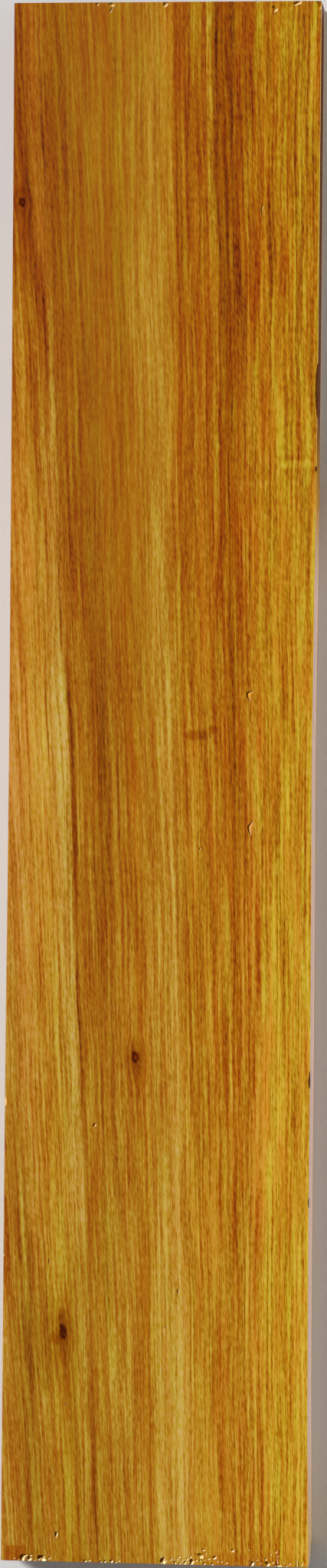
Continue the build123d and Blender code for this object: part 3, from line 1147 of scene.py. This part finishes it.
def named_strokes(board, grain, light, olive):
    """Both dials once the listed streaks, the lines, the knots and the two stains near
    the near end have turned them."""
    for streak in streaks:
        share = grain_spot(board, grain.ring, grain.along, streak, STREAK_EDGE)
        light = add_to(light, share, streak["light"])
        olive = add_to(olive, share, streak["olive"])
    for line in dark_lines:
        share = grain_spot(board, grain.ring, grain.along, line, LINE_EDGE)
        light = add_to(light, share, line["light"])
    for knot in knots:
        rim = grain_spot(board, *grain.frayed, knot, KNOT_EDGE)
        halo = grain_spot(board, *grain.frayed, resized(knot, KNOT_HALO_WIDE, KNOT_HALO_LONG), 1.0)
        heart = grain_spot(board, *grain.frayed, resized(knot, KNOT_HEART, KNOT_HEART), HEART_EDGE)
        light = light + halo * KNOT_HALO_LIGHT
        light = light + rim * KNOT_RIM_LIGHT + heart * KNOT_HEART_LIGHT
        olive = olive + rim * KNOT_OLIVE
    left_start = board.span(grain.on_face, *LEFT_STAIN_START)
    left_end = board.span(grain.on_face, *LEFT_STAIN_END)
    left_stain = board.span(grain.along, *LEFT_STAIN_ALONG) * left_start * left_end
    right_start = board.span(grain.on_face, *RIGHT_STAIN_START)
    right_stain = board.span(grain.along, *RIGHT_STAIN_ALONG) * right_start
    stain = left_stain + right_stain * RIGHT_STAIN_SHARE
    return light + stain * STAIN_LIGHT, olive + stain * STAIN_OLIVE


print("streaks:", len(streaks), "dark lines:", len(dark_lines))

# %% [markdown]
# ## The wood
#
# The dials are set as the eye meets the plank: bands and streaks that can be named, then
# the fine figure that can't. A broad string of fibres is made of thinner ones, and those
# of single fibres, and noise stretched along the grain has just that build. Late wood
# closes each ring with a darker line, and small slanting flecks cross the rings where
# the grain is interlocked. All of it is solid, so that the two ends show the same rings
# and fibres cut across.

# %% Set the dials, then mix the colour
STRING_LIGHT = 4.2
LINE_LIGHT = 19.0
LINE_OLIVE = 13.0
FIBRE_LIGHT = 8.0
FLECK_LIGHT = 7.5
FLECK_OLIVE = 7.0
FLECK_BLUE = 1.3
FLECK_LEAN = 0.2
HUE_OLIVE = 27.0
LIGHT_SHIFT = 1.7
OLIVE_SHIFT = -3.3
OLIVE_MOST = 14.0
OLIVE_MOST_FALL = 0.8
FIGURE_SKEW = 0.035
BOLDER_FIGURE = (110.0, 180.0, 1.0, 1.3)
RICHER_HUE = (110.0, 190.0, 0.85, 1.9)
CALM_MIDDLE = (78.0, 1150.0)
CALM_SIZE = (130.0, 1200.0)
CALM_MOST = 0.38
RING_PITCH = 4.9
RING_WANDER = 12.0
LATE_WOOD_DARKENS = (0.45, 0.93)
LATE_WOOD_STOPS = (1.0, 0.95)
LATE_WOOD_STRENGTH = (120.0, 200.0, 0.4, 2.4)
STRING_NOISE = dict(size=(7.0, 150.0, 9.0), roughness=0.8)
LINE_NOISE = dict(size=(2.5, 105.0, 4.0), detail=2.0, roughness=0.6, shift=(5.0, 3.0, 2.0))
FIBRE_NOISE = dict(size=(1.3, 11.0, 1.8), shift=(2.0, 8.0, 5.0))
HUE_NOISE = dict(size=(6.0, 95.0, 8.0), detail=2.0, roughness=0.75, shift=(4.0, 1.0, 7.0))
FLECK_NOISE = dict(size=(1.3, 4.6, 1.6), detail=0.0, shift=(1.0, 9.0, 2.0))
WANDER_NOISE = dict(size=(30.0, 400.0, 40.0), shift=(2.0, 2.0, 2.0))


def band_colours(board, grain, position):
    """The two dials from the three lists of bands, blended along the plank."""
    dials = [band_dials(board, position, bands) for bands in (middle_bands, far_bands, near_bands)]
    to_far = board.span(grain.along, MIDDLE_LIST_AT, FAR_LIST_AT)
    to_near = board.span(grain.along, MIDDLE_LIST_AT, NEAR_LIST_AT)
    blended = board.mix(to_near, board.mix(to_far, dials[0], dials[1]), dials[2])
    parted = board.box("ShaderNodeSeparateColor")
    board.feed(parted.inputs[0], blended)
    shares = [Wire(board, socket) for socket in (parted.outputs[0], parted.outputs[1])]
    return [board.calc("MULTIPLY_ADD", share, DIAL_RANGE, DIAL_LOW) for share in shares]


def wood_colour(board, listed=True, speckle=1.0):
    """Wires for the colour, for the fibres and rings that give the relief, and for the
    place in the plank. SPECKLE says how strong the flecks are."""
    grain = grain_coordinates(board)
    ring, along, height = grain.ring, grain.along, grain.height
    position = board.span(ring, FIRST_RING, LAST_RING)
    light, olive = band_colours(board, grain, position)
    if listed:
        light, olive = named_strokes(board, grain, light, olive)

    place = board.place(ring, along, height)
    leaning = board.place(ring + along * FLECK_LEAN, along, height)
    strings = board.noise(place, **STRING_NOISE) - 0.5
    lines = board.noise(place, **LINE_NOISE) - 0.5
    fibres = board.noise(place, **FIBRE_NOISE) - 0.5
    hue = board.noise(place, **HUE_NOISE) - 0.5
    flecks = (board.noise(leaning, **FLECK_NOISE) - 0.5) * speckle
    figure = strings * STRING_LIGHT + lines * LINE_LIGHT + fibres * FIBRE_LIGHT + flecks * FLECK_LIGHT
    figure = figure - figure * figure * FIGURE_SKEW
    bolder = board.span(ring, *BOLDER_FIGURE)
    richer = board.span(ring, *RICHER_HUE)
    calm = board.spot(ring, along, CALM_MIDDLE, CALM_SIZE, 1.0, CALM_MOST)
    light = light + figure * (bolder - calm) + LIGHT_SHIFT
    olive = olive + lines * LINE_OLIVE + hue * richer * HUE_OLIVE
    olive = olive + (fibres - flecks) * FLECK_OLIVE + OLIVE_SHIFT
    olive = board.calc("MINIMUM", olive, light * -OLIVE_MOST_FALL + OLIVE_MOST)

    wander = board.noise(place, **WANDER_NOISE) * RING_WANDER
    ring_phase = board.calc("FRACT", (ring + wander) / RING_PITCH)
    late_wood = board.span(ring_phase, *LATE_WOOD_DARKENS) * board.span(ring_phase, *LATE_WOOD_STOPS)
    light = light - late_wood * board.span(ring, *LATE_WOOD_STRENGTH)
    blue_stops = [(at, (share, share, share, 1.0)) for at, share in blue_shares]
    blue_share = ring_ramp(board, position, blue_stops) * ((fibres + flecks) * FLECK_BLUE + 1)
    colour = mixed_colour(board, light, olive, blue_share)
    return SimpleNamespace(
        colour=colour, along=along, height=height, on_face=grain.on_face,
        flecks=flecks, figure=figure, late_wood=late_wood,
    )


COAT_ROUGHNESS = 0.1


def layered(board, colour, *layers):
    """A colour with others laid over it, each given as (share, colour, blend)."""
    for share, *over in layers:
        colour = board.mix(share, colour, *over)
    return colour


def finish_wood(board, colour, relief, roughness, bump_depth, coat=0.1, specular=0.2):
    """Joins the wires to the shader: colour, roughness, bump and a thin clear coat."""
    bump = board.box("ShaderNodeBump")
    bump.inputs["Strength"].default_value = 1.0
    bump.inputs["Distance"].default_value = bump_depth
    board.feed(bump.inputs["Height"], relief)
    for name, value in (
        ("Base Color", colour), ("Roughness", roughness), ("Normal", Wire(board, bump.outputs[0])),
        ("Specular IOR Level", specular), ("Coat Weight", coat), ("Coat Roughness", COAT_ROUGHNESS),
    ):
        board.feed(board.nodes["Principled BSDF"].inputs[name], value)


PLANED_RIBS = (0.0008, 0.008, 0.0008)
PLANED_BUMP = 0.00005
PLANED_GLOSS = (-2.0, 2.0, 0.28, 0.20)
planed_board = Board(bpy.data.materials["planed_wood"])
planed = wood_colour(planed_board)
planed_relief = planed_board.noise(planed_board.here(), PLANED_RIBS)
planed_roughness = planed_board.span(planed.figure, *PLANED_GLOSS)
finish_wood(planed_board, planed.colour, planed_relief, planed_roughness, PLANED_BUMP)
print("boxes in the planed wood's net:", planed_board.made)

# %% [markdown]
# ## Sides, ends and torn wood
#
# On the right side the near part carries a pale painted reflection under a thin coat,
# and the far part a dark red-brown painted reflection, with painted light low down. A
# thin painted highlight follows its upper arris. The sawn ends are dull, with no coat
# and with the fine scratches of the saw.
#
# Torn wood has no coat either. Its colour carries painted light, set by the side that a
# wall leans to: walls towards the light get a near-white painted highlight, walls away
# from it a dark painted shade, deep hollows a brown painted shade, and shallow floors
# between them a golden painted light.

# %% The long sides
SIDE_SPECKLE = 0.4
# Where the right side carries painted reflections, painted light low down and a painted arris highlight.
RIGHT_HALF = (120.0, 121.0)
DARK_REFLECTION_BEGINS = (820.0, 900.0)
PALE_REFLECTION_ENDS = (830.0, 760.0)
PALE_REFLECTION_NEAR_END = (15.0, 90.0, 0.3, 0.85)
PALE_REFLECTION_WARMS = (30.0, 8.0)
PAINTED_LIGHT_LOW_DOWN = (12.0, 6.0)
PAINTED_LIGHT_LOW_SHARE = 0.75
ARRIS_HIGHLIGHT_HEIGHTS = (43.8, 44.6)
DARK_REFLECTION_STRENGTH = 0.45
SIDE_RING_RELIEF = 0.05
NEAR_SIDE_COAT = 0.12
side_board = Board(bpy.data.materials["side_wood"])
side = wood_colour(side_board, listed=False, speckle=SIDE_SPECKLE)
on_right = side_board.span(side.on_face, *RIGHT_HALF)
# The far part of the right side: a dark red-brown painted reflection.
dark_reflection_share = side_board.span(side.along, *DARK_REFLECTION_BEGINS) * on_right
# The near part of the right side: a pale painted reflection, which also gets a thin coat.
pale_reflection_share = side_board.span(side.along, *PALE_REFLECTION_ENDS) * side_board.span(side.along, *PALE_REFLECTION_NEAR_END)
pale_reflection_share = pale_reflection_share * on_right
# Painted light low down on the far part of the right side.
painted_light_low_down = side_board.span(side.height, *PAINTED_LIGHT_LOW_DOWN) * dark_reflection_share * PAINTED_LIGHT_LOW_SHARE
# A painted highlight along the upper right arris.
arris_highlight = side_board.span(side.height, *ARRIS_HIGHLIGHT_HEIGHTS) * on_right
warmer = side_board.span(side.height, *PALE_REFLECTION_WARMS)
# The colour of the pale painted reflection, warmer low down.
pale_reflection_colour = side_board.mix(warmer, tone(214, 188, 196), tone(255, 216, 186))
# The colour of the dark red-brown painted reflection.
dark_reflection_colour = layered(
    side_board, side.colour,
    (1.0, tone(148, 112, 100), "MULTIPLY"), (DARK_REFLECTION_STRENGTH, tone(84, 36, 4)),
)
side_colour = layered(
    side_board, side.colour,
    (dark_reflection_share, dark_reflection_colour), (pale_reflection_share, pale_reflection_colour),
    (painted_light_low_down, tone(226, 196, 160)), (arris_highlight, tone(236, 196, 104)),
)
finish_wood(
    side_board, side_colour, side.flecks + side.figure * SIDE_RING_RELIEF,
    roughness=0.4, bump_depth=0.00003, coat=pale_reflection_share * NEAR_SIDE_COAT, specular=0.03,
)
print("boxes in the side wood's net:", side_board.made)

# %% The sawn ends
SCRATCH_SIZE = (0.7, 9.0, 30.0)
SCRATCH_LEAN = 0.35
SCRATCH_SHOWS = (0.35, 0.65)
SAWN_DULLNESS = 0.8
SAWN_DULL_TINT = (0.50, 0.42, 0.34, 1.0)
LATE_WOOD_ON_END = 0.45
sawn_board = Board(bpy.data.materials["sawn_end"])
sawn = wood_colour(sawn_board, listed=False)
leaning = sawn.on_face + sawn.height * SCRATCH_LEAN
saw_place = sawn_board.place(leaning, sawn.along, sawn.height)
scratches = sawn_board.noise(saw_place, SCRATCH_SIZE)
sawn_colour = layered(
    sawn_board, sawn.colour,
    (SAWN_DULLNESS, SAWN_DULL_TINT, "MULTIPLY"),
    (sawn.late_wood * LATE_WOOD_ON_END, tone(92, 48, 12)),
    (sawn_board.span(scratches, *SCRATCH_SHOWS), tone(150, 104, 50), "SOFT_LIGHT"),
)
finish_wood(sawn_board, sawn_colour, scratches, roughness=0.62, bump_depth=0.00015, coat=0.0)
print("boxes in the sawn ends' net:", sawn_board.made)

# %% The torn wood
# Heights and sides for the torn wood's painted shade in hollows and on walls away from the light, golden
# painted light on floors, and painted highlights.
SHADE_IN_HOLLOW_BY_HEIGHT = (THICKNESS - 0.3, THICKNESS - 1.6, 0.0, 0.55)
SHADE_IN_HOLLOW_BY_SIDE = (0.06, 0.0)
SHADED_WALL_BY_HEIGHT = (36.0, 41.0)
SHADED_WALL_BY_SIDE = (-0.1, -0.9, 0.0, 0.88)
LIT_FLOOR_BY_HEIGHT = (44.8, 44.0, 0.0, 0.7)
LIT_FLOOR_BY_SIDE = (0.0, 0.03)
HIGHLIGHT_BY_SIDE = (0.1, 0.9)
torn_board = Board(bpy.data.materials["torn_wood"])
torn = wood_colour(torn_board, listed=False)
side_reader = torn_board.box("ShaderNodeAttribute")
side_reader.attribute_name = "painted_light_side"
lit_side = Wire(torn_board, side_reader.outputs["Fac"])


def torn_share(by_height, by_light_side):
    """How much of a painted light or painted shade shows, going by the height and by the side that a
    wall leans to.
    """
    return torn_board.span(torn.height, *by_height) * torn_board.span(lit_side, *by_light_side)


# Painted shade in deep hollows, painted shade on walls away from the light, golden painted light on
# shallow floors, near-white painted highlights on walls towards it.
torn_colour = layered(
    torn_board, torn.colour,
    (torn_share(SHADE_IN_HOLLOW_BY_HEIGHT, SHADE_IN_HOLLOW_BY_SIDE), tone(96, 44, 4)),
    (torn_share(SHADED_WALL_BY_HEIGHT, SHADED_WALL_BY_SIDE), tone(70, 29, 2)),
    (torn_share(LIT_FLOOR_BY_HEIGHT, LIT_FLOOR_BY_SIDE), tone(255, 180, 50)),
    (torn_board.span(lit_side, *HIGHLIGHT_BY_SIDE), tone(255, 243, 196)),
)
finish_wood(
    torn_board, torn_colour, torn.flecks, roughness=0.5, bump_depth=0.0001, coat=0.0, specular=0.04,
)
print("boxes in the torn wood's net:", torn_board.made)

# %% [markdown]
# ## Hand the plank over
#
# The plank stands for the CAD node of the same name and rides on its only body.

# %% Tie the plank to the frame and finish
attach(plank, "root")
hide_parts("plank")
